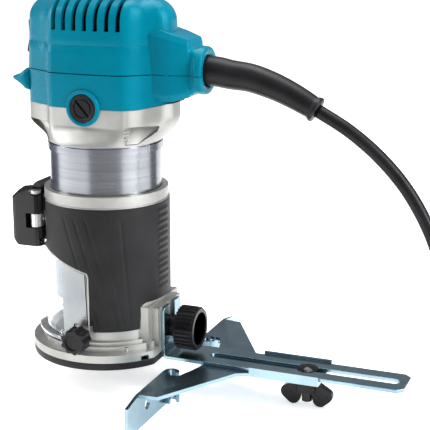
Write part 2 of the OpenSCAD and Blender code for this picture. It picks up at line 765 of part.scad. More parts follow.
module chip_deflector() color(c_clear)
    difference() {
        intersection() {
            union() {
                ring(grip_r + 0.1, base_r + 0.05, ledge_z + 2.2, window_top + 1.5);
                ring(ledge_r + 1.5, base_r + 0.05, ledge_z + 2.1, ledge_z + 4.3);
            }
            window_prism(0.4, 4.8);
        }
        // clear of the ears above
        block([-60, -ear_y - 0.5, lever_z0 + 1.5], [-25, ear_y + 0.5, 100]);
        // clear of the depth screw's housing
        block([-15.4, 20, pinion_h - 8.4], [20, 60, 100]);
        // clear of the boss of its screw
        block([-4.6, -60, 0], [20, 60, clamp_z + 7]);
    }

module base_plate() color(c_black)
    difference() {
        intersection() {
            cylinder(r = flange_r, h = plate_t, $fn = 96);
            block([-60, -60, -1], [seat_x, 60, 30]);
        }
        translate([0, 0, -1]) cylinder(d = plate_hole_d, h = plate_t + 2);
        for (a = plate_screw_a) rotate([0, 0, a]) translate([plate_screw_r, 0, 0]) {
            translate([0, 0, -1]) cylinder(r = 2.1, h = plate_t + 2);
            translate([0, 0, -1]) cylinder(r = 4, h = 3.4);
        }
    }

module plate_screws() color(c_steel)
    for (a = plate_screw_a) rotate([0, 0, a]) translate([plate_screw_r, 0, 0])
        difference() {
            union() {
                translate([0, 0, 0.5]) cylinder(r = 3.6, h = 1.9);
                translate([0, 0, 2]) cylinder(r = 1.65, h = ledge_z - 3);
            }
            block([-2.6, -0.4, 0], [2.6, 0.4, 1.2]);
            block([-0.4, -2.6, 0], [0.4, 2.6, 1.2]);
        }

module clamp_bolt() color(c_steel)
    translate([bolt_x, 0, bolt_z]) {
        difference() {
            union() {
                rod_y(2.5, pin_y + 2, 15.5);
                translate([0, pin_y, -3.9]) cylinder(r = 3.7, h = 7.8);
            }
            translate([0, pin_y, -10]) cylinder(r = 1.56, h = 20);
        }
    }

module clamp_nut() color(c_steel)
    translate([bolt_x, ear_y + 0.1, bolt_z]) rotate([-90, 0, 0])
        difference() {
            cylinder(d = 8 / cos(30), h = 4, $fn = 6);
            translate([0, 0, -1]) cylinder(r = 2.5, h = 6);
        }

module cam_plate() color(c_steel)
    translate([bolt_x, 0, bolt_z])
        difference() {
            block([-5, -ear_y - 1.1, -13.4], [3.6, -ear_y - 0.1, 13.4]);
            rod_y(2.7, -40, 40);
        }

// black moulded cap that closes the slit above the lever
module slit_cap() color(c_black)
    difference() {
        translate([0, ear_y, 0]) rotate([90, 0, 0]) linear_extrude(2 * ear_y)
            polygon([[-36.9, lever_z1 - 1], [bolt_x - 5.4, lever_z1 - 1],
                     [bolt_x - 6.6, lever_z1 + 1.6], [bolt_x - 4.6, lever_z1 + 4.8],
                     [bolt_x - 2.4, lever_z1 + 6.4], [bolt_x - 0.6, lever_z1 + 5.2],
                     [-36.9, lever_z1 + 4.6]]);
        block([-80, -1.2, 0], [0, 1.2, lever_z1 + 2]);
    }

module lever_pin() color(c_steel)
    translate([bolt_x, pin_y, 0]) {
        translate([0, 0, lever_z0 + 1]) cylinder(r = 1.53, h = lever_z1 - lever_z0 + 1.2);
        translate([0, 0, lever_z1 + 0.3]) cylinder(r = 3.2, h = 2.2);
    }

// plan of the lever: hub round the pin, arm curved round the front of the ears
function lever_plan() = concat(
    arc([bolt_x, pin_y], hub_r, 60, -90, 12),
    [[bolt_x - 8, pin_y - 4.6]],
    arc([bolt_x - 10.5, pin_y + 0.6], 5.2, 255, 180, 5),
    [[bolt_x - 17, -5], [bolt_x - 17.6, 3], [bolt_x - 16.4, 11], [bolt_x - 13.6, 18],
     [bolt_x - 10.6, 20.5], [bolt_x - 9.2, 18.6], [bolt_x - 11.6, 11], [bolt_x - 12.6, 3],
     [bolt_x - 12, -4.5], [bolt_x - 8.2, -10.4]]);

module locking_lever() color(c_black)
    difference() {
        translate([0, 0, lever_z0]) linear_extrude(lever_z1 - lever_z0) polygon(lever_plan());
        translate([bolt_x, pin_y, 0]) cylinder(r = 1.6, h = 200);
        // slot for the eye of the clamp bolt
        translate([bolt_x, pin_y, bolt_z - 4.4]) cylinder(r = 6.6, h = 8.8);
        block([bolt_x - 4, pin_y, bolt_z - 4.4], [bolt_x + 6, pin_y + 14, bolt_z + 4.4]);
        // rounded lower and upper outer corners
        for (z = [lever_z0, lever_z1]) translate([bolt_x - 17.7, -40, z]) rotate([0, 45, 0])
            cube([5, 120, 5], center = false);
    }

// ---------- depth screw ----------

// involute flank angle at radius r for base radius b, in degrees
function inv(r, b) = let (t = sqrt(r * r / (b * b) - 1)) t * 180 / PI - atan(t);
function polar(r, a) = [r * cos(a), r * sin(a)];
pinion_b = pitch_r * cos(25);
pinion_tip = pitch_r + tooth_out;
pinion_root = pitch_r - tooth_out - 0.25;
function pinion_tooth(a) =
    let (h = 90 / pinion_z - 2.2 + inv(pitch_r, pinion_b), s = [0, 0.4, 0.7, 1],
         r = [for (k = s) pinion_b + (pinion_tip - pinion_b) * k])
    concat([polar(pinion_root, a - h)], [for (q = r) polar(q, a - h + inv(q, pinion_b))],
           [for (i = [3:-1:0]) polar(r[i], a + h - inv(r[i], pinion_b))], [polar(pinion_root, a + h)]);

module depth_screw() color(c_black)
    translate([0, pinion_y, pinion_h]) {
        // toothed part: one tooth points at the rack
        color(c_steel) translate([-3.6, 0, 0]) rotate([90, 0, 90]) linear_extrude(7.2)
            polygon([for (i = [0:pinion_z - 1]) each pinion_tooth(180 + i * 360 / pinion_z)]);
        color(c_steel) rod_x(2.3, -27, 10.8);
        translate([-38, 0, 0]) rotate([90, 0, 90]) linear_extrude(12)
            polygon([for (i = [0:59]) let (r = i % 2 == 0 ? 7.6 : 7.1) polar(r, i * 6)]);
        rod_x(3.6, -26.4, -15.3);
    }

// lobed thumb screw of the clear guard
module deflector_screw() color(c_black)
    translate([0, 0, clamp_z + 1]) rotate([0, 0, deflector_a]) {
        color(c_steel) rod_x(2, 34.5, 44);
        rod_x(5, grip_r + 1.3, grip_r + 4);
        difference() {
            translate([grip_r + 4, 0, 0]) rotate([90, 0, 90]) linear_extrude(10)
                polygon([for (i = [0:71]) polar(6.9 + 0.7 * cos(i * 5 * 9), i * 5)]);
            rod_x(4.8, grip_r + 12.8, grip_r + 16);
        }
    }

module guide_clamp_screw() color(c_black)
    translate([0, 0, clamp_z])
        difference() {
            union() {
                color(c_steel) rod_x(screw_r, 35.5, holder_x1 + 8);
                rod_x(6.5, holder_x1 + 0.3, holder_x1 + 6);
                translate([holder_x1 + 5.5, 0, 0]) rotate([90, 0, 90]) linear_extrude(11)
                    polygon([for (i = [0:119]) polar(knob_d / 2 - (i % 4 < 2 ? 0 : 0.9), i * 3)]);
                rod_x(knob_d / 2 - 1, holder_x1 + 16.4, holder_x1 + 17.6);
            }
            difference() {
                rod_x(knob_d / 2 - 3.2, holder_x1 + 13.5, holder_x1 + 20);
                rod_x(4, holder_x1 + 12, holder_x1 + 16);
            }
        }

// ---------- straight guide ----------

// bent strip: upright plate, quarter bend, arm
module guide_holder() color(c_zinc)
    difference() {
        translate([0, arm_w / 2, 0]) rotate([90, 0, 0]) linear_extrude(arm_w)
            polygon(concat([[seat_x + 0.02, 31.5]],
                           arc([seat_x + 0.02 + strip_t + 1.5, arm_bot + strip_t + 1.5], strip_t + 1.5, 180, 270, 8),
                           [[arm_end, arm_bot], [arm_end, arm_top]],
                           arc([seat_x + 0.02 + strip_t + 1.5, arm_bot + strip_t + 1.5], 1.5, 270, 180, 6),
                           [[seat_x + 0.02 + strip_t, 31.5]]));
        // open slot for the clamp screw
        block([30, -slot_w / 2, clamp_z], [holder_x1 + 2, slot_w / 2, 50]);
        translate([0, 0, clamp_z]) rod_x(slot_w / 2, 30, holder_x1 + 2);
        // long slot of the arm
        block([69.3, -slot_w / 2, -5], [175.7, slot_w / 2, 10]);
        for (x = [69.3, 175.7]) translate([x, 0, -5]) cylinder(d = slot_w, h = 15);
        // cut corners
        for (s = [-1, 1]) translate([arm_end, s * arm_w / 2, 0]) rotate([0, 0, 45]) cube([5, 5, 20], center = true);
        for (s = [-1, 1]) translate([seat_x, s * arm_w / 2, 31.5]) rotate([45, 0, 0]) cube([20, 2.5, 2.5], center = true);
    }

curl_y = 28;
curl_r = 4.6;
curl_x = fence_x + curl_r - strip_t + 0.2;
chan_half = arm_w / 2 + 0.3;

// one branch of the guide, on the +Y side, with its fence wing and rolled inner end
module guide_half() {
    // flat branch
    translate([0, 0, guide_bot]) linear_extrude(strip_t)
        polygon([[66, 0], [66, 11], [63, 22], [59, 33], [fence_x, 33.5], [fence_x, 65.5],
                 [fence_x + 10.5, 64.5], [chan_x0 - 7, 17.5], [chan_x0 - 1, chan_half + strip_t],
                 [chan_x1, chan_half + strip_t], [chan_x1, 0]]);
    // side flange that holds the arm
    block([chan_x0, chan_half, guide_bot], [chan_x1, chan_half + strip_t, arm_top + 1.4]);
    // fence wing
    difference() {
        block([fence_x - strip_t, curl_y, -fence_drop], [fence_x, fence_half, guide_top]);
        translate([fence_x - 5, fence_half - 14.2, guide_top]) rotate([-11, 0, 0]) cube([10, 40, 10]);
        translate([0, fence_half - 25, -9.5]) rod_x(3.2, fence_x - 5, fence_x + 5, 48);
    }
    // rolled inner end
    difference() {
        translate([curl_x, curl_y, -fence_drop + 1.5]) cylinder(r = curl_r, h = guide_top + fence_drop - 1.5);
        translate([curl_x, curl_y, -fence_drop]) cylinder(r = curl_r - strip_t + 0.2, h = 60);
        block([curl_x + 0.5, curl_y + 0.3, -60], [curl_x + 20, curl_y + 30, 60]);
    }
}

module straight_guide() color(c_zinc)
    difference() {
        union() {
            guide_half();
            mirror([0, 1, 0]) guide_half();
        }
        translate([bolt_px, 0, -20]) cylinder(r = 3.1, h = 40);
    }

module guide_bolt() color(c_black)
    translate([bolt_px, 0, 0]) {
        translate([0, 0, arm_top - 7.2]) intersection() {
            sphere(r = 9.7);
            translate([0, 0, 7.21]) cylinder(r = 6.5, h = 5);
        }
        translate([0, 0, -17.6]) cylinder(r = 3, h = 17.6 + arm_top + 0.5);
    }

module guide_washer() color(c_steel) translate([bolt_px, 0, 0])
    ring(6.5, 3.1, guide_bot - 1.1, guide_bot - 0.05);

nut_top = guide_bot - 1.2;
module wing_nut() color(c_black)
    translate([bolt_px, 0, 0])
        difference() {
            union() {
                translate([0, 0, nut_top - 8]) cylinder(r1 = 6.2, r2 = 7, h = 8);
                for (s = [0, 180]) rotate([0, 0, s]) hull() {
                    translate([5, 0, nut_top - 5]) rotate([90, 0, 0]) cylinder(r = 3, h = 5, center = true, $fn = 32);
                    translate([11.2, 0, nut_top - 9.6]) rotate([90, 0, 0]) cylinder(r = 4.2, h = 3.6, center = true, $fn = 32);
                    translate([8, 0, nut_top - 12.4]) rotate([90, 0, 0]) cylinder(r = 4.2, h = 3.6, center = true, $fn = 32);
                }
            }
            translate([0, 0, nut_top - 30]) cylinder(r = 3.06, h = 40);
        }

// ---------- output ----------

motor_housing();
lower_cover();
top_cover();
housing_screws();
brush_caps();
brush_holders();
brushes();
brush_springs();
field_core();
field_coils();
air_baffle();
upper_bearing();
lower_bearing();
depth_rack();
switch_body();
speed_board();
cord_clamp();
clamp_screws();
cord_guard();
cord();
cord_coil();
cord_tail();
plug();
spindle();
armature_core();
commutator();
fan();
collet_cone();
collet_nut();
switch_rocker();
speed_dial();
lock_button();
lock_spring();
tool_base();
grip_cover();
chip_deflector();
base_plate();
plate_screws();
clamp_bolt();
clamp_nut();
cam_plate();
slit_cap();
lever_pin();
locking_lever();
depth_screw();
deflector_screw();
guide_clamp_screw();
guide_holder();
straight_guide();
guide_bolt();
guide_washer();
wing_nut();
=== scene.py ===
# Trim router with its round clamping base, clear guard, straight guide and mains lead.
# All sizes are metres in the CAD frame: +Z up the spindle, +X towards the lead and the
# guide arm, -X towards the locking lever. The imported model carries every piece's place.
import json
import math

import bmesh
import bpy
import numpy as np
from mathutils import Matrix, Vector

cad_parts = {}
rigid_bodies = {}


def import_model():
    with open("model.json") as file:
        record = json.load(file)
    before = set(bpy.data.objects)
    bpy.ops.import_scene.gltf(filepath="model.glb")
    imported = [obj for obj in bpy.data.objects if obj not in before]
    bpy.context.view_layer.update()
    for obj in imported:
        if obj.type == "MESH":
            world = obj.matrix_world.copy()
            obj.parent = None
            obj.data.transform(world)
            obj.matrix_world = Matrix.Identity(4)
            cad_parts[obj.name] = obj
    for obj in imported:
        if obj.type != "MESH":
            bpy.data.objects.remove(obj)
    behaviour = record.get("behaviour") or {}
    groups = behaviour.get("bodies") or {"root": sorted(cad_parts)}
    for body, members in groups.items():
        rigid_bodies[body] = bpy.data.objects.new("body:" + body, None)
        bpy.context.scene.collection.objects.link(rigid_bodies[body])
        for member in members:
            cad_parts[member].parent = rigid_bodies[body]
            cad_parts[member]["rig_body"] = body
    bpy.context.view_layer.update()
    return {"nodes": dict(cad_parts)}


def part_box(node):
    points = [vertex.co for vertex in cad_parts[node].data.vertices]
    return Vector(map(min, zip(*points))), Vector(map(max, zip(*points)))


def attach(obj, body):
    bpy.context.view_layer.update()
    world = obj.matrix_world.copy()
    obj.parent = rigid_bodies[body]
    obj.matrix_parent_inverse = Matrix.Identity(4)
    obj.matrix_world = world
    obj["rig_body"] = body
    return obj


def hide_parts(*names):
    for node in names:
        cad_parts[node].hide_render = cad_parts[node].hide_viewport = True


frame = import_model()


# ---- Camera -------------------------------------------------------------------------
# A long lens at bench height, a little above the tool and turned to its cord side.
eye = Vector((0.30962, -0.609, 0.25925))
gaze = Vector((-0.3560, 0.8993, -0.2542))
camera = bpy.data.objects.new("camera", bpy.data.cameras.new("camera"))
camera.data.lens = 99.36
camera.data.sensor_width = 36
camera.data.clip_start, camera.data.clip_end = 0.05, 60
camera.location = eye
camera.rotation_mode = "QUATERNION"
camera.rotation_quaternion = gaze.to_track_quat("-Z", "Y")
bpy.context.scene.collection.objects.link(camera)
bpy.context.scene.camera = camera


# ---- Mains lead ---------------------------------------------------------------------
# Round rubber lead, 7.5 mm across, from the strain relief down to the bench, where its
# spare length is wound in two layers of a storage coil and ends in a round plug.
lead_r = 0.00375
bench_z = -0.0204
lie_z = bench_z + lead_r
coil_centre = (0.314, 0.047)
route = np.array([
    [128, 0, 151], [146, 0, 141], [163, 0, 128], [178, 0, 112], [190, 0, 93],
    [199, 0, 72], [207, 0, 50], [216, -1, 28], [229, -3, 9], [247, -6, -5],
    [270, -8.5, -13], [293, -9.2, -16.65], [314, -9.2, -16.65]]) / 1000
tail = np.array([[314, 103, -9.2], [301, 104, -8.6], [290, 104, -7],
                 [279, 104, -4.4], [268, 104, -2.9]]) / 1000


def smooth_line(points, steps):
    """Catmull-Rom curve: between two points p1, p2 with neighbours p0, p3 it is
    (2p1 + (p2-p0)t + (2p0-5p1+4p2-p3)t^2 + (3p1-p0-3p2+p3)t^3) / 2."""
    a = np.vstack([points[:1], points[:-2], points[-3:-2]])[:len(points) - 1]
    b, c = points[:-1], points[1:]
    d = np.vstack([points[2:], points[-1:]])
    t = (np.arange(steps) / steps)[None, :, None]
    a, b, c, d = (q[:, None, :] for q in (a, b, c, d))
    line = 0.5 * (2 * b + (c - a) * t + (2 * a - 5 * b + 4 * c - d) * t ** 2
                  + (3 * b - a - 3 * c + d) * t ** 3)
    return np.vstack([line.reshape(-1, 3), points[-1:]])


def storage_coil():
    """Spiral in turns t: radius 56.25 - 7.5 t mm going in along the bench, 30 mm while
    it climbs one diameter, then 7.5 (t - 7.5) + 56.25 mm coming out on top."""
    t = np.arange(0, 7.5001, 1 / 72)
    r = np.where(t < 3.5, 56.25 - 7.5 * t, np.where(t < 4, 30, 56.25 + 7.5 * (t - 7.5)))
    climb = np.clip((t - 3.5) / 0.27, 0, 1)
    z = lie_z + 2 * lead_r * climb ** 2 * (3 - 2 * climb)
    angle = 2 * np.pi * t - np.pi / 2
    return np.stack([coil_centre[0] + r / 1000 * np.cos(angle),
                     coil_centre[1] + r / 1000 * np.sin(angle), z], 1)


def frames_along(line):
    """Unit tangents and two side vectors of a line: the side vector a is the last one
    with its part along the new tangent taken off, so that the tube doesn't twist."""
    run = np.gradient(line, axis=0)
    run /= np.linalg.norm(run, axis=1)[:, None]
    first = np.cross(run[0], (0, 1, 0.01))
    sides = [first / np.linalg.norm(first)]
    for tangent in run[1:]:
        a = sides[-1] - tangent * np.dot(sides[-1], tangent)
        sides.append(a / np.linalg.norm(a))
    a = np.array(sides)
    return run, a, np.cross(run, a)


def grid_object(name, grid, close_u=False, close_v=False, cap_u=False):
    """Mesh of a grid of points [u, v, xyz]: quads between neighbours, joined round
    where close is set, and one face over each open end where cap_u is set."""
    nu, nv = grid.shape[:2]
    index = np.arange(nu * nv).reshape(nu, nv)
    u0 = index if close_u else index[:-1]
    u1 = np.roll(index, -1, 0) if close_u else index[1:]
    if close_v:
        corners = [u0, u1, np.roll(u1, -1, 1), np.roll(u0, -1, 1)]
    else:
        corners = [u0[:, :-1], u1[:, :-1], u1[:, 1:], u0[:, 1:]]
    faces = [tuple(f) for f in np.stack(corners, -1).reshape(-1, 4).tolist()]
    if cap_u:
        faces += [tuple(index[0].tolist()), tuple(index[-1, ::-1].tolist())]
    mesh = bpy.data.meshes.new(name)
    mesh.from_pydata(grid.reshape(-1, 3).tolist(), [], faces)
    return keep_mesh(name, mesh)


def keep_mesh(name, mesh):
    """Puts a mesh in the scene with its normals pointing outwards and smooth faces."""
    shape = bmesh.new()
    shape.from_mesh(mesh)
    bmesh.ops.remove_doubles(shape, verts=shape.verts, dist=1e-7)
    bmesh.ops.recalc_face_normals(shape, faces=shape.faces)
    shape.to_mesh(mesh)
    shape.free()
    mesh.polygons.foreach_set("use_smooth", np.ones(len(mesh.polygons), bool))
    piece = bpy.data.objects.new(name, mesh)
    bpy.context.scene.collection.objects.link(piece)
    return piece


def tube(name, line, radius, sides=16):
    """Tube round a line: point + radius(u) (a cos v + b sin v) at each station u."""
    run, a, b = frames_along(line)
    v = np.linspace(0, 2 * np.pi, sides, endpoint=False)
    radius = np.broadcast_to(radius, len(line))[:, None, None]
    ring = a[:, None] * np.cos(v)[None, :, None] + b[:, None] * np.sin(v)[None, :, None]
    return grid_object(name, line[:, None] + radius * ring, close_v=True, cap_u=True)


def finish(name, dark, light, rough, metal=0.0, patch=40, grain=1500, relief=0.00005,
           stretch=(1, 1, 1), coat=0.0):
    """A surface finish on Object coordinates: colour runs between two tones in soft
    patches, roughness between two values on a finer noise, and a grain lifts the
    surface by relief metres. stretch scales the pattern along X, Y and Z."""
    material = bpy.data.materials.new(name)
    material.use_nodes = True
    nodes, links = material.node_tree.nodes, material.node_tree.links
    shader = nodes["Principled BSDF"]
    shader.inputs["Metallic"].default_value = metal
    shader.inputs["Coat Weight"].default_value = coat
    shader.inputs["Coat Roughness"].default_value = 0.15
    shader.inputs["Specular IOR Level"].default_value = 0.22
    place = nodes.new("ShaderNodeTexCoord")
    turn = nodes.new("ShaderNodeMapping")
    turn.inputs["Scale"].default_value = stretch
    links.new(place.outputs["Object"], turn.inputs["Vector"])
    blotch = nodes.new("ShaderNodeTexNoise")
    blotch.inputs["Scale"].default_value = patch
    blotch.inputs["Detail"].default_value = 4
    links.new(turn.outputs["Vector"], blotch.inputs["Vector"])
    tone = nodes.new("ShaderNodeValToRGB")
    tone.color_ramp.elements[0].position, tone.color_ramp.elements[1].position = 0.35, 0.65
    tone.color_ramp.elements[0].color = (*dark, 1)
    tone.color_ramp.elements[1].color = (*light, 1)
    links.new(blotch.outputs["Fac"], tone.inputs["Fac"])
    links.new(tone.outputs["Color"], shader.inputs["Base Color"])
    fine = nodes.new("ShaderNodeTexNoise")
    fine.inputs["Scale"].default_value = grain
    fine.inputs["Detail"].default_value = 3
    links.new(turn.outputs["Vector"], fine.inputs["Vector"])
    gloss = nodes.new("ShaderNodeMapRange")
    gloss.inputs["From Min"].default_value, gloss.inputs["From Max"].default_value = 0.3, 0.7
    gloss.inputs["To Min"].default_value, gloss.inputs["To Max"].default_value = rough
    links.new(fine.outputs["Fac"], gloss.inputs["Value"])
    links.new(gloss.outputs["Result"], shader.inputs["Roughness"])
    bump = nodes.new("ShaderNodeBump")
    bump.inputs["Distance"].default_value = relief
    links.new(fine.outputs["Fac"], bump.inputs["Height"])
    links.new(bump.outputs["Normal"], shader.inputs["Normal"])
    return material


cable_rubber = finish("cable_rubber", (0.004, 0.004, 0.005), (0.008, 0.008, 0.009),
                      (0.34, 0.46), patch=90, grain=1800, relief=0.00004)
whole = np.vstack([smooth_line(route, 6)[:-1], storage_coil(), smooth_line(tail, 4)[1:]])
lead = tube("mains_lead", whole, lead_r, 14)
lead.data.materials.append(cable_rubber)
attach(lead, "motor")
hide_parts("cord", "cord_coil", "cord_tail")
guard_line = smooth_line(np.array([
    [55, 0, 169.5], [69, 0, 169.2], [78, 0, 167.9], [90, 0, 166.6], [102, 0, 163.2],
    [112, 0, 159.2], [121, 0, 154.8], [128, 0, 151]]) / 1000, 8)
share = np.linspace(0, 1, len(guard_line))
guard_r = np.interp(share, [0, 0.2, 0.5, 0.8, 0.93, 0.935, 0.95, 0.99, 1],
                    [8.4, 8.3, 7.7, 6.8, 6.3, 6.5, 7.2, 7.2, 6.6]) / 1000
guard = tube("strain_relief", guard_line, guard_r, 40)
guard.data.materials.append(cable_rubber)
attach(guard, "motor")
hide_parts("cord_guard")


# ---- Plug ---------------------------------------------------------------------------
# Moulded round two-pin plug on its side: a thick face disc, a finger waist with four
# grip ribs and a tapered neck in the lead's own rubber, with nickel-plated pins.
plug_low, plug_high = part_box("plug")
plug_axis = Vector((0, (plug_low.y + plug_high.y) / 2, (plug_low.z + plug_high.z) / 2))
plug_face = 0.212
along = np.array([0, 0.3, 1, 8.6, 9.6, 12, 13.5, 16, 18, 18.6, 20, 20.6, 22, 22.6, 24, 24.6,
                  27, 32, 38, 44, 50, 55.6, 56])
around = np.array([15.6, 16.9, 17.5, 17.5, 17, 14.8, 13.6, 12.6, 12.2, 11.2, 11.2, 12, 12,
                   11, 11, 11.6, 10.6, 9.2, 7.6, 6.4, 5.8, 5.3, 4.6])
v = np.linspace(0, 2 * np.pi, 64, endpoint=False)
oval = 1 - 0.10 * np.clip((along - 14) / 8, 0, 1)[:, None] * np.cos(v)[None] ** 2
ring = (around[:, None] * oval / 1000)[..., None] * np.stack(
    [np.zeros(64), np.cos(v), np.sin(v)], 1)[None]
ring[..., 0] += plug_face + along[:, None] / 1000
plug_body = grid_object("plug_body", ring + np.array(plug_axis), close_v=True, cap_u=True)
plug_body.data.materials.append(cable_rubber)
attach(plug_body, "motor")
nickel = finish("nickel_pins", (0.55, 0.54, 0.50), (0.66, 0.65, 0.60), (0.22, 0.34),
                metal=1.0, grain=900, relief=0.00002, stretch=(0.1, 1, 1))
pin_line = np.array([[-18.9, 0], [-18.4, 1.5], [-17.2, 2.15], [-15.5, 2.4], [-9, 2.4],
                     [-8.9, 2.25], [0.5, 2.25]]) / 1000
for side, mark in ((-1, "a"), (1, "b")):
    turn = np.stack([np.zeros(32), np.cos(v[::2]), np.sin(v[::2])], 1)
    ring = pin_line[:, 1, None, None] * turn[None]
    ring[..., 0] += plug_face + pin_line[:, 0, None]
    ring += np.array(plug_axis) + (0, side * 0.0095, 0)
    pin = grid_object("plug_pin_" + mark, ring, close_v=True, cap_u=True)
    pin.data.materials.append(nickel)
    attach(pin, "motor")
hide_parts("plug")


def from_cad(node, name, material, edge=0.0003, corner=38, steps=2):
    """Copy of a CAD solid with its loose triangles joined and its flat faces merged; a
    bevel of width edge breaks every edge sharper than corner degrees. It stands for
    the node, which it hides, on the node's body."""
    source = frame["nodes"][node]
    mesh = source.data.copy()
    for kept in ("custom_normal", "sharp_edge", "sharp_face"):
        if kept in mesh.attributes:
            mesh.attributes.remove(mesh.attributes[kept])
    shape = bmesh.new()
    shape.from_mesh(mesh)
    bmesh.ops.remove_doubles(shape, verts=shape.verts, dist=3e-6)
    bmesh.ops.dissolve_limit(shape, angle_limit=math.radians(0.5), verts=shape.verts,
                             edges=shape.edges)
    shape.to_mesh(mesh)
    shape.free()
    mesh.polygons.foreach_set("use_smooth", np.ones(len(mesh.polygons), bool))
    mesh.materials.clear()
    mesh.materials.append(material)
    piece = bpy.data.objects.new(name, mesh)
    bpy.context.scene.collection.objects.link(piece)
    broken = piece.modifiers.new("broken_edges", "BEVEL")
    broken.width = edge
    broken.segments = steps
    broken.limit_method = "ANGLE"
    broken.angle_limit = math.radians(corner)
    broken.harden_normals = True
    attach(piece, source["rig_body"])
    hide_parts(node)
    return piece


cast_metal = finish("blasted_casting", (0.33, 0.33, 0.315), (0.42, 0.42, 0.40),
                    (0.38, 0.50), metal=0.8, patch=55, grain=2200, relief=0.00006)
from_cad("tool_base", "base_casting", cast_metal, edge=0.0005)


# ---- Sole ---------------------------------------------------------------------------
# Black acetal plate, flat and faintly scuffed, held by four countersunk screws.
sole_plastic = finish("sole_plastic", (0.006, 0.006, 0.007), (0.011, 0.011, 0.012),
                      (0.38, 0.52), patch=120, grain=900, relief=0.00003)
from_cad("base_plate", "sole", sole_plastic, edge=0.0006)
plain_steel = finish("machined_steel", (0.50, 0.50, 0.50), (0.62, 0.62, 0.61),
                     (0.24, 0.36), metal=1.0, patch=80, grain=1600, relief=0.00002)
from_cad("plate_screws", "sole_screws", plain_steel, edge=0.0002)


# ---- Clear guard --------------------------------------------------------------------
# Polycarbonate shell, 1.5 mm thick, that closes the chip window and stands on the
# flange; a lobed black thumb screw holds it.
clear_shell = finish("clear_guard", (0.90, 0.95, 1.0), (0.96, 0.98, 1.0),
                     (0.03, 0.09), patch=30, grain=400, relief=0.00001)
clear_shader = clear_shell.node_tree.nodes["Principled BSDF"]
clear_shader.inputs["Transmission Weight"].default_value = 1.0
clear_shader.inputs["IOR"].default_value = 1.45
from_cad("chip_deflector", "clear_guard", clear_shell, edge=0.0003)
moulded_black = finish("moulded_black", (0.004, 0.004, 0.005), (0.008, 0.008, 0.009),
                       (0.24, 0.36), patch=70, grain=1500, relief=0.00003)
from_cad("deflector_screw", "guard_screw", moulded_black, edge=0.0003)


# ---- Grip ---------------------------------------------------------------------------
# Soft elastomer sleeve moulded round the casting, fine matt grain and shallow flutes.
grip_rubber = finish("grip_rubber", (0.006, 0.006, 0.007), (0.011, 0.011, 0.012),
                     (0.44, 0.58), patch=60, grain=2400, relief=0.00006)
grip_r, grip_top = 0.0372, 0.0929


def grip_grid(angles, low, high, rows):
    """Rows between two edges on the sleeve's cylinder; the radius is the sleeve's less
    slanted flutes (each a bell curve 1 degree wide about its line) plus the raised
    ribs of the thumb strip on the lead's side."""
    v = np.linspace(0, 1, rows)[:, None]
    z = low[None] + (high - low)[None] * v
    turn = angles[None] + 0 * z
    side = -np.abs(turn)
    drop = 88 - z * 1000
    sunk = 0
    for start, slope in ((-106, 0.50), (-95, 0.48), (-84, 0.43), (-70, 0.30), (-52, 0.12)):
        line = np.exp(-((side - start - slope * drop) / 1.0) ** 2)
        sunk = sunk + line * np.clip(drop / 2, 0, 1) * np.clip((66 - drop) / 4, 0, 1)
    rib = ((z * 1000 - 41.5) % 3.8 < 1.9) & (z > 0.0415) & (z < 0.0895) & (
        turn > -12) & (turn < 7)
    radius = grip_r - 0.00035 * np.clip(sunk, 0, 1) + 0.00045 * rib
    t = np.radians(turn)
    return np.stack([radius * np.cos(t), radius * np.sin(t), z], -1)


degrees = np.arange(-137, 137.1, 1.0)
gx = grip_r * 1000 * np.cos(np.radians(degrees))
low_edge = np.interp(gx, [-27.3, -8.3, 4.2, 5.4, 30.2, 31, 32.5, 37.3],
                     [65, 58.8, 55, 20.2, 20.2, 33.9, 35.5, 35.5]) / 1000
low_edge[(degrees < 0) & (gx < 7.4) & (gx > 5)] = 0.0239
low_edge[(degrees > 0) & (gx < 14)] = 0.076
grip_sheets = [grip_grid(degrees, low_edge, np.full(len(degrees), grip_top), 73)]
tongue = degrees[(degrees > 0) & (gx < 14.8) & (gx > 5.2)]
grip_sheets.append(grip_grid(tongue, np.full(len(tongue), 0.0202),
                             np.full(len(tongue), 0.052), 30))
for name, sheet in zip(("grip_sleeve", "grip_tongue"), grip_sheets):
    sleeve = grid_object(name, sheet)
    if sum(p.normal.dot(Vector((p.center.x, p.center.y, 0))) > 0
           for p in sleeve.data.polygons) * 2 < len(sleeve.data.polygons):
        sleeve.data.flip_normals()
    wall = sleeve.modifiers.new("wall", "SOLIDIFY")
    wall.thickness, wall.offset = 0.0013, -1
    soft = sleeve.modifiers.new("soft_edges", "BEVEL")
    soft.width, soft.segments = 0.0004, 2
    soft.limit_method, soft.angle_limit = "ANGLE", math.radians(50)
    sleeve.data.materials.append(grip_rubber)
    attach(sleeve, "base")
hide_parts("grip_cover")
edge_x = np.concatenate([np.linspace(-27.3, 4.2, 40), np.full(30, 5.0)])
edge_z = np.concatenate([np.interp(edge_x[:40], [-27.3, -8.3, 4.2], [65, 58.8, 55]),
                         np.linspace(53, 21, 30)])
bead_line = np.stack([edge_x, -np.sqrt(36.9 ** 2 - edge_x ** 2), edge_z], 1) / 1000
collar_turn = np.radians(np.linspace(-137, 137, 160))
collar_line = np.stack([36.6 * np.cos(collar_turn), 36.6 * np.sin(collar_turn),
                        np.full(160, 93.1)], 1) / 1000
for name, line, thick in (("window_bead", bead_line, 0.00055),
                          ("collar_bead", collar_line, 0.00045),
                          ("lip_low", collar_line * 0.975 + (0, 0, 0.0045), 0.0007),
                          ("lip_top", collar_line * 0.975 + (0, 0, 0.0077), 0.0007)):
    bead = tube(name, line, thick, 10)
    bead.data.materials.append(cast_metal)
    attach(bead, "base")


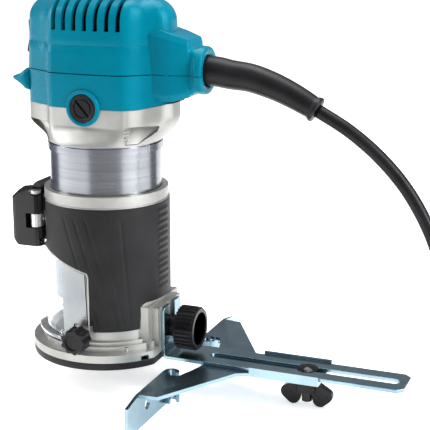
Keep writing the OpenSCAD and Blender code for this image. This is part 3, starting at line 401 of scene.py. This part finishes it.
# ---- Lever clamp --------------------------------------------------------------------
# Glossy nylon cam lever on a steel pin, with an eye bolt, a cam plate and a nut.
gloss_black = finish("gloss_black", (0.004, 0.004, 0.005), (0.007, 0.007, 0.008),
                     (0.12, 0.20), patch=60, grain=700, relief=0.00002, coat=0.2)
from_cad("locking_lever", "lever", gloss_black, edge=0.0015, steps=3)
from_cad("clamp_bolt", "eye_bolt", plain_steel, edge=0.0003)
from_cad("clamp_nut", "lever_nut", plain_steel, edge=0.0003)
from_cad("cam_plate", "cam_plate_bent", plain_steel, edge=0.0003)
from_cad("lever_pin", "lever_hinge_pin", plain_steel, edge=0.0004)
from_cad("slit_cap", "slit_cover", gloss_black, edge=0.0005)


# ---- Depth screw --------------------------------------------------------------------
# Steel pinion shaft in the casting's housing with a fine-ribbed black knob.
from_cad("depth_screw", "depth_knob", moulded_black, edge=0.0002)


# ---- Motor body ---------------------------------------------------------------------
# Die-cast aluminium body: a turned barrel that slides in the base, and above its neck
# a blasted bell that spreads to the plan of the covers, with a pocket at each corner.
neck_z = 0.1225
cover_z = 0.148
turned_metal = finish("turned_barrel", (0.22, 0.23, 0.25), (0.27, 0.28, 0.30),
                      (0.20, 0.28), metal=1.0, patch=60, grain=500, relief=0.000006,
                      stretch=(0.2, 0.2, 9))
barrel = from_cad("motor_housing", "motor_barrel", turned_metal, edge=0.0003)
shape = bmesh.new()
shape.from_mesh(barrel.data)
bmesh.ops.bisect_plane(shape, geom=shape.verts[:] + shape.edges[:] + shape.faces[:],
                       plane_co=(0, 0, neck_z + 0.0049), plane_no=(0, 0, 1),
                       clear_outer=True)
shape.to_mesh(barrel.data)
shape.free()

# half plan of the covers: distance along the tool and half width
plan_x = np.array([-46, -45.6, -43.5, -40, -32, -25.6, -24.6, -22.8, -11, 0, 11, 22.8,
                   26, 32, 36, 42, 45.6, 46]) / 1000
plan_y = np.array([0, 5.5, 10.5, 14, 18.6, 21.4, 22.2, 25.2, 26.4, 26.8, 26.4, 25.2,
                   23.2, 17.0, 14.6, 11, 5.5, 0]) / 1000
vent_x = 0.001 + 0.0066 * (np.arange(7) - 3)
vent_half = 0.0014


def plan_line():
    """Closed outline of the covers: fine steps along the half plan, rounded by a short
    running mean, with its points set at both edges of every air slot, then mirrored."""
    run = np.concatenate([[0], np.cumsum(np.hypot(np.diff(plan_x), np.diff(plan_y)))])
    t = np.arange(0, run[-1], 0.0005)
    x, y = np.interp(t, run, plan_x), np.interp(t, run, plan_y)
    x = np.concatenate([x[4:0:-1], x, x[-2:-6:-1]])
    y = np.concatenate([-y[4:0:-1], y, -y[-2:-6:-1]])
    mean = np.ones(9) / 9
    x, y = np.convolve(x, mean, "valid"), np.convolve(y, mean, "valid")
    keep = np.abs(x) < 0.0226
    slots = np.concatenate([vent_x - vent_half, vent_x, vent_x + vent_half])
    wall = np.sort(np.concatenate([slots, np.linspace(-0.0226, 0.0226, 8)]))
    low, high = x < 0, x > 0
    half_x = np.concatenate([x[~keep & low][::2], wall, x[~keep & high][::2]])
    half_y = np.concatenate([y[~keep & low][::2], np.interp(wall, x, y),
                             y[~keep & high][::2]])
    half_y[0] = half_y[-1] = 0
    return np.concatenate([np.stack([half_x, -half_y], 1),
                           np.stack([half_x, half_y], 1)[-2:0:-1]])


outline = plan_line()
pocket_x, pocket_low, pocket_roof = 0.0240, 1.0, 10.9


def bell_grid():
    """Rows from the neck circle to the plan: point = circle + s (plan - circle). s eases
    3u^2 - 2u^3 with u = height / band height, and turns into sin(90 u) towards the
    lead, where the upright band is shorter. Each corner has a three-sided pocket sunk
    along Y, deepest under its flat roof."""
    heights = np.concatenate([[0, 0.4, 0.8], np.arange(1.2, 12.6, 0.3),
                              [13.5, 14.5, 16, 17.5, 18.5, 19.9, 20.5]])[:, None]
    x, y = outline[:, 0][None], outline[:, 1][None]
    rear = np.clip((x - 0.018) / 0.026, 0, 1)
    u = np.clip(heights / (10.5 + 6.0 * rear), 0, 1)
    s = (1 - rear) * u * u * (3 - 2 * u) + rear * np.sin(np.pi / 2 * u)
    angle = np.arctan2(y, x * 0.8)
    cx, cy = 0.0335 * np.cos(angle), 0.0335 * np.sin(angle)
    px, py = cx + s * (x - cx), cy + s * (y - cy)
    near_gap = np.abs(px) - pocket_x
    px = np.where(np.abs(near_gap) < 0.0006,
                  np.sign(px) * (pocket_x + 0.0002 * np.sign(near_gap)), px)
    far_edge = 0.0275 + 0.0013 * heights
    pocket = (np.abs(px) > pocket_x) & (np.abs(px) < far_edge) & (
        heights > pocket_low) & (heights < pocket_roof) & (np.abs(y) > 0.012)
    py = np.where(pocket, py * (1 - (0.06 + 0.026 * heights)), py)
    z = neck_z + 0.005 + heights / 1000 + 0 * x
    z[-2:] += 0.0033 * np.clip((x - 0.030) / 0.016, 0, 1)
    return np.stack([px, py, z], -1)


bell = grid_object("motor_bell", bell_grid(), close_v=True, cap_u=True)
bell.data.materials.append(cast_metal)
rounded = bell.modifiers.new("soft_casting_edges", "BEVEL")
rounded.width, rounded.segments = 0.0005, 2
rounded.limit_method, rounded.angle_limit = "ANGLE", math.radians(40)
rounded.harden_normals = True
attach(bell, "motor")


# ---- Covers -------------------------------------------------------------------------
# Two satin glass-filled nylon mouldings, teal, screwed together along one seam; the
# upper one has seven air slots a side that run up and over its rounded edge.
seam_z = 0.1675
top_z = 0.2085
teal_plastic = finish("teal_nylon", (0.000, 0.128, 0.192), (0.000, 0.145, 0.215),
                      (0.22, 0.32), patch=50, grain=2000, relief=0.00005)
teal_shader = teal_plastic.node_tree.nodes["Principled BSDF"]
teal_shader.inputs["Specular Tint"].default_value = (0.12, 0.80, 1.0, 1)
rim = 0.013
spine = np.stack([np.clip(outline[:, 0], -0.026, 0.026), 0 * outline[:, 0]], 1)
inward = spine - outline
reach = np.linalg.norm(inward, axis=1)
inward /= reach[:, None]


def cover_rows(inset, z):
    """Rows of the covers: plan point moved towards the tool's middle line by inset."""
    inset = np.minimum(inset[:, None], reach[None])[..., None]
    flat = outline[None] + inward[None] * inset
    return np.concatenate([flat, np.broadcast_to(z[:, None, None], flat.shape[:2] + (1,))],
                          -1)


def shell(name, grid, gone, thick, edge=0.0005):
    """Open sheet from a closed-round grid without the faces marked gone, given its wall
    by Solidify and its broken edges by Bevel."""
    nu, nv = grid.shape[:2]
    index = np.arange(nu * nv).reshape(nu, nv)
    quads = np.stack([index[:-1], np.roll(index[:-1], -1, 1), np.roll(index[1:], -1, 1),
                      index[1:]], -1)[~gone].reshape(-1, 4)
    mesh = bpy.data.meshes.new(name)
    mesh.from_pydata(grid.reshape(-1, 3).tolist(), [], quads.tolist())
    piece = keep_mesh(name, mesh)
    wall = piece.modifiers.new("wall", "SOLIDIFY")
    wall.thickness, wall.offset = thick, -1
    soft = piece.modifiers.new("broken_edges", "BEVEL")
    soft.width, soft.segments = edge, 2
    soft.limit_method, soft.angle_limit = "ANGLE", math.radians(40)
    soft.harden_normals = True
    piece.data.materials.append(teal_plastic)
    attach(piece, "motor")
    return piece


bend = np.radians(np.array([0, 7.2, 15, 24, 33, 42, 51, 60, 69, 78, 84, 90]))
row_z = np.concatenate([[0.16765, 0.170, 0.1734, 0.178, 0.1829, 0.18315, 0.1834, 0.187,
                         0.1912, 0.1932], top_z - rim + rim * np.sin(bend),
                        np.full(7, top_z)])
row_in = np.concatenate([np.array([0, .14, .32, .58, .82, 1.02, .85, 1.07, 1.3, 1.42]) / 1000,
                         0.0015 + rim * (1 - np.cos(bend)),
                         0.0145 + np.array([1, 3, 5, 7, 9, 11, 30]) / 1000])
row_z[-6:] += np.array([0.1, 0.2, 0.3, 0.35, 0.4, 0.4]) / 1000
top_grid = cover_rows(row_in, row_z)
middle_x = (outline[:, 0] + np.roll(outline[:, 0], -1)) / 2
middle_y = (outline[:, 1] + np.roll(outline[:, 1], -1)) / 2
in_slot = (np.abs(middle_x[:, None] - vent_x[None]) < vent_half).any(1)
in_rocker = (middle_x < -0.040) & (np.abs(middle_y) < 0.0073)
rows = np.arange(len(row_z) - 1)
gone = (in_slot[None] & ((rows >= 8) & (rows < 22))[:, None]) | (
    in_rocker[None] & ((rows >= 2) & (rows < 11))[:, None])
cover_top = shell("cover_top", top_grid, gone, 0.0024)
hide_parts("top_cover")
low_z = np.array([0.14815, 0.151, 0.156, 0.161, 0.1655, 0.1671])
low_grid = cover_rows(np.zeros(len(low_z)), low_z)
low_grid[0, :, 2] += 0.0035 * np.clip((outline[:, 0] - 0.030) / 0.016, 0, 1)
cover_low = shell("cover_low", low_grid, np.zeros((5, len(outline)), bool), 0.0024)
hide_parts("lower_cover")


def box_loft(name, stations, material, count=48, chamfer=1.8):
    """Loft along X: at each station (x, half width, top, bottom, power) the section is
    y = w |cos v|^(2/n), z = middle + h |sin v|^(2/n), with the signs of cos and sin;
    corners where |y|/w + |z|/h is more than chamfer are drawn back to a flat."""
    x, w, top, low, n = (np.array(q, float)[:, None] for q in zip(*stations))
    v = np.linspace(0, 2 * np.pi, count, endpoint=False)[None] + 0.0001
    y = w * np.sign(np.cos(v)) * np.abs(np.cos(v)) ** (2 / n)
    z = (top - low) / 2 * np.sign(np.sin(v)) * np.abs(np.sin(v)) ** (2 / n)
    cut = np.minimum(1, chamfer / (np.abs(y) / w + np.abs(z) * 2 / (top - low)))
    y, z = y * cut, z * cut + (top + low) / 2
    grid = np.stack([x + 0 * v, y, z], -1) / 1000
    piece = grid_object(name, grid, close_v=True, cap_u=True)
    piece.data.materials.append(material)
    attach(piece, "motor")
    return piece


block = [(29, 14.3, 193.4, 152.2, 14), (36, 14.3, 193.4, 152.2, 14),
         (36.6, 14.3, 193.2, 152.2, 14), (46.8, 14.2, 190.3, 152.4, 14),
         (47.2, 14.1, 190.2, 152.5, 14), (56.2, 11.4, 187.3, 155.0, 14),
         (56.8, 11.0, 186.9, 155.4, 12), (57.1, 10.6, 183.4, 156.0, 9),
         (58.8, 10.4, 182.4, 156.6, 6), (59.8, 11.0, 182.0, 156.9, 4),
         (60.6, 12.6, 183.0, 156.3, 2.4), (61.4, 13.3, 183.1, 155.9, 2),
         (63.6, 13.4, 183.0, 156.0, 2), (64.6, 13.0, 182.6, 156.4, 2),
         (65.0, 12.3, 181.9, 157.1, 2), (65.0, 9.6, 179.2, 159.8, 2),
         (64.6, 8.9, 178.5, 160.5, 2), (58, 8.8, 178.4, 160.6, 2)]
for name, side in (("lead_block_top", 1), ("lead_block_low", -1)):
    half = box_loft(name, block, teal_plastic, 96)
    shape = bmesh.new()
    shape.from_mesh(half.data)
    bmesh.ops.bisect_plane(shape, geom=shape.verts[:] + shape.edges[:] + shape.faces[:],
                           plane_co=(0, 0, seam_z + side * 0.00015), plane_no=(0, 0, side),
                           clear_inner=True)
    shape.to_mesh(half.data)
    shape.free()
box_loft("finger_ledge", [(-42, 13.4, 167.0, 153.5, 5), (-45.6, 13.2, 166.8, 154.2, 5),
                          (-47.5, 12.8, 165.4, 156.0, 4.5), (-49.5, 12.2, 164.0, 157.3, 4),
                          (-52, 11.2, 162.9, 158.4, 3.4), (-54, 10.0, 162.4, 159.1, 3),
                          (-55.5, 8.4, 161.9, 159.8, 2.5), (-56.3, 5.5, 161.3, 160.4, 2)],
         teal_plastic)
# near-black lip just inside the seam between the covers: painted shade in the seam gap, not
# the colour of the plastic
seam_shadow = finish("seam_painted_shade", (0.004, 0.004, 0.005), (0.008, 0.008, 0.009), (0.7, 0.8))
inner_ring = cover_rows(np.array([0.0012, 0.0012]), np.array([0.1664, 0.1682]))
seam_lip = shell("seam_lip", inner_ring, np.zeros((1, len(outline)), bool), 0.0006, 0.0001)
seam_lip.data.materials[0] = seam_shadow
# black sheet behind the slots: painted shade for the dark inside of the cover seen through
# them
slot_shade_sheet = shell("slot_shade_sheet", cover_rows(np.array([5.5, 5.5, 6, 9, 14, 26]) / 1000,
                                          np.array([172, 190, 198, 203, 204.4, 204.6]) / 1000),
                  np.zeros((5, len(outline)), bool), 0.0008)
slot_shade_sheet.data.materials[0] = moulded_black
from_cad("housing_screws", "cover_screws", plain_steel, edge=0.0002)


# ---- Brush caps ---------------------------------------------------------------------
# Black slotted screw caps over the carbon brushes, each in a raised ring of the cover.
brush_z = 0.1485


def turned_y(name, profile, centre, side, material, body, count=64):
    """Turned piece about an axis along Y: profile pairs (y, radius) in mm, y counted
    outwards on the given side."""
    v = np.linspace(0, 2 * np.pi, count, endpoint=False)[None]
    y, rad = (np.array(q, float)[:, None] / 1000 for q in zip(*profile))
    grid = np.stack([centre[0] + rad * np.cos(v), side * y + 0 * v,
                     centre[1] + rad * np.sin(v)], -1)
    piece = grid_object(name, grid, close_u=True, close_v=True)
    piece.data.materials.append(material)
    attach(piece, body)
    return piece


for side, mark in ((-1, "near"), (1, "far")):
    turned_y("cap_ring_" + mark, [(23, 8.2), (28, 8.2), (28.4, 8.5), (28.4, 9.7), (28.1, 10.1),
                                  (27.4, 10.3), (23, 10.5)], (0, brush_z), side,
             teal_plastic, "motor")
caps = from_cad("brush_caps", "brush_cap_pair", moulded_black, edge=0.0003)
shape = bmesh.new()
shape.from_mesh(caps.data)
bmesh.ops.rotate(shape, verts=shape.verts, cent=(0, 0, brush_z),
                 matrix=Matrix.Rotation(math.radians(48), 3, "Y"))
shape.to_mesh(caps.data)
shape.free()
for side, mark in ((-1, "near"), (1, "far")):
    turned_y("cap_rib_" + mark, [(27.5, 7.0), (28.15, 6.9), (28.2, 6.7), (28.15, 6.5),
                                 (27.5, 6.4)], (0, brush_z), side, moulded_black, "motor")
from_cad("switch_rocker", "rocker", moulded_black, edge=0.0004)
from_cad("speed_dial", "dial_wheel", moulded_black, edge=0.0002)
from_cad("lock_button", "shaft_lock", moulded_black, edge=0.0004)


# ---- Inner works --------------------------------------------------------------------
# Field, armature, brushes, bearings, switch and speed board, seen through openings.
copper = finish("enamelled_copper", (0.30, 0.10, 0.03), (0.45, 0.17, 0.06),
                (0.25, 0.4), metal=0.9, patch=300, grain=2500, relief=0.0001,
                stretch=(1, 1, 6))
brass = finish("brass_tube", (0.55, 0.40, 0.14), (0.66, 0.50, 0.20), (0.25, 0.4), metal=1.0)
carbon = finish("carbon_brush", (0.02, 0.02, 0.02), (0.035, 0.035, 0.035), (0.5, 0.7))
core_steel = finish("stacked_steel", (0.18, 0.18, 0.19), (0.30, 0.30, 0.31),
                    (0.4, 0.6), metal=0.8, patch=1600, stretch=(0.02, 0.02, 1))
board_green = finish("board_green", (0.01, 0.06, 0.03), (0.02, 0.10, 0.05), (0.3, 0.5))
for material, names in (
        (copper, "field_coils commutator"), (brass, "brush_holders"), (carbon, "brushes"),
        (core_steel, "field_core armature_core"), (board_green, "speed_board"),
        (moulded_black, "air_baffle fan switch_body cord_clamp"),
        (plain_steel, "upper_bearing lower_bearing depth_rack brush_springs lock_spring "
                      "clamp_screws")):
    for node in names.split():
        inner = frame["nodes"][node]
        inner.data.materials.clear()
        inner.data.materials.append(material)
from_cad("spindle", "spindle_shaft", plain_steel, edge=0.0002)
from_cad("collet_cone", "collet", plain_steel, edge=0.0002)
from_cad("collet_nut", "nut_of_collet", plain_steel, edge=0.0003)


# ---- Guide --------------------------------------------------------------------------
# Bright zinc plated sheet steel: a bent holder with a slotted arm, and the guide with
# its two fence wings, held by a dome-head bolt and a black wing nut.
zinc_steel = finish("zinc_plate", (0.20, 0.30, 0.38), (0.30, 0.42, 0.46), (0.20, 0.27),
                    metal=1.0, patch=28, grain=1200, relief=0.000006)
from_cad("guide_holder", "holder_arm", zinc_steel, edge=0.0003)
from_cad("straight_guide", "fence_plate", zinc_steel, edge=0.0003)
from_cad("guide_clamp_screw", "holder_knob", moulded_black, edge=0.0003)
# shallow stepped face, turned about X, in the recess of the knob: (x from its end, radius)
knob_low, knob_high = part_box("guide_clamp_screw")
face = np.array([[-3.6, 7.6], [-2.6, 7.2], [-2.3, 6.6], [-2.3, 4.6], [-1.9, 4.3],
                 [-1.8, 2.2], [-2.0, 0.2]]) / 1000
turn = np.linspace(0, 2 * np.pi, 48, endpoint=False)[None]
knob_face = grid_object("knob_face", np.stack([
    knob_high.x + face[:, :1] + 0 * turn, face[:, 1:] * np.cos(turn),
    (knob_low.z + knob_high.z) / 2 + face[:, 1:] * np.sin(turn)], -1), close_v=True)
knob_face.data.materials.append(gloss_black)
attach(knob_face, "clamp_knob")
from_cad("guide_bolt", "dome_bolt", gloss_black, edge=0.0003)
from_cad("guide_washer", "thumb_washer", plain_steel, edge=0.0001)
from_cad("wing_nut", "thumb_nut_black", moulded_black, edge=0.0008)


# ---- Bench and light ----------------------------------------------------------------
# A pale bench top and three large soft lamps: one each side and one overhead. Three
# dark card fans, seen in reflections only, give the bright metal its bands.
bench = grid_object("bench", np.array([[[-7, -7, 0], [7, -7, 0]], [[-7, 9, 0], [7, 9, 0]]],
                                      float) + (0, 0, bench_z - 0.0002))
bench_paint = bpy.data.materials.new("bench_paint")
bench_paint.use_nodes = True
bench_shader = bench_paint.node_tree.nodes["Principled BSDF"]
bench_shader.inputs["Base Color"].default_value = (0.92, 0.92, 0.92, 1)
bench_shader.inputs["Roughness"].default_value = 0.7
bench_shader.inputs["Emission Color"].default_value = (1, 1, 1, 1)
bench_shader.inputs["Emission Strength"].default_value = 0.62
bench.data.materials.append(bench_paint)
fan_reach = (0.33, 0.95)
for name, low, high, tone in (("mat_front", -98, -32, (0.20, 0.20, 0.21)),
                              ("mat_right", 36, 61, (0.02, 0.035, 0.07)),
                              ("mat_left", 146, 186, (0.02, 0.035, 0.07))):
    arc = np.radians(np.linspace(low, high, 12))
    fan = np.stack([np.outer(fan_reach, np.cos(arc)), np.outer(fan_reach, np.sin(arc)),
                    np.full((2, 12), bench_z + 0.0003)], -1)
    mat = grid_object(name, fan)
    card = bpy.data.materials.new(name)
    card.use_nodes = True
    card_shader = card.node_tree.nodes["Principled BSDF"]
    card_shader.inputs["Base Color"].default_value = (*tone, 1)
    card_shader.inputs["Roughness"].default_value = 0.9
    mat.data.materials.append(card)
    mat.visible_camera = mat.visible_diffuse = mat.visible_shadow = False
room = bpy.data.worlds.new("room")
bpy.context.scene.world = room
room.use_nodes = True
wires = room.node_tree.links
sky = room.node_tree.nodes["Background"]
sky.inputs["Strength"].default_value = 0.5
height_of = room.node_tree.nodes.new("ShaderNodeSeparateXYZ")
shade = room.node_tree.nodes.new("ShaderNodeValToRGB")
way = room.node_tree.nodes.new("ShaderNodeTexCoord")
wires.new(way.outputs["Generated"], height_of.inputs["Vector"])
wires.new(height_of.outputs["Z"], shade.inputs["Fac"])
wires.new(shade.outputs["Color"], sky.inputs["Color"])
shade.color_ramp.elements[0].position, shade.color_ramp.elements[1].position = 0.0, 0.75
shade.color_ramp.elements[0].color = (0.16, 0.18, 0.22, 1)
shade.color_ramp.elements[1].color = (1, 1, 1, 1)
middle = Vector((0.03, 0, 0.09))
for name, place, width, height, power in (
        ("lamp_left", (-1.1, -0.4, 0.7), 0.4, 1.2, 14),
        ("lamp_right", (1.3, -0.1, 0.7), 0.4, 1.2, 24),
        ("lamp_top", (0.1, 0.2, 1.3), 1.0, 0.8, 17)):
    lamp = bpy.data.objects.new(name, bpy.data.lights.new(name, "AREA"))
    lamp.data.shape = "RECTANGLE"
    lamp.data.size, lamp.data.size_y = width, height
    lamp.data.energy = power
    lamp.location = place
    lamp.rotation_mode = "QUATERNION"
    lamp.rotation_quaternion = (middle - Vector(place)).to_track_quat("-Z", "Y")
    bpy.context.scene.collection.objects.link(lamp)
bpy.context.scene.view_settings.view_transform = "Standard"
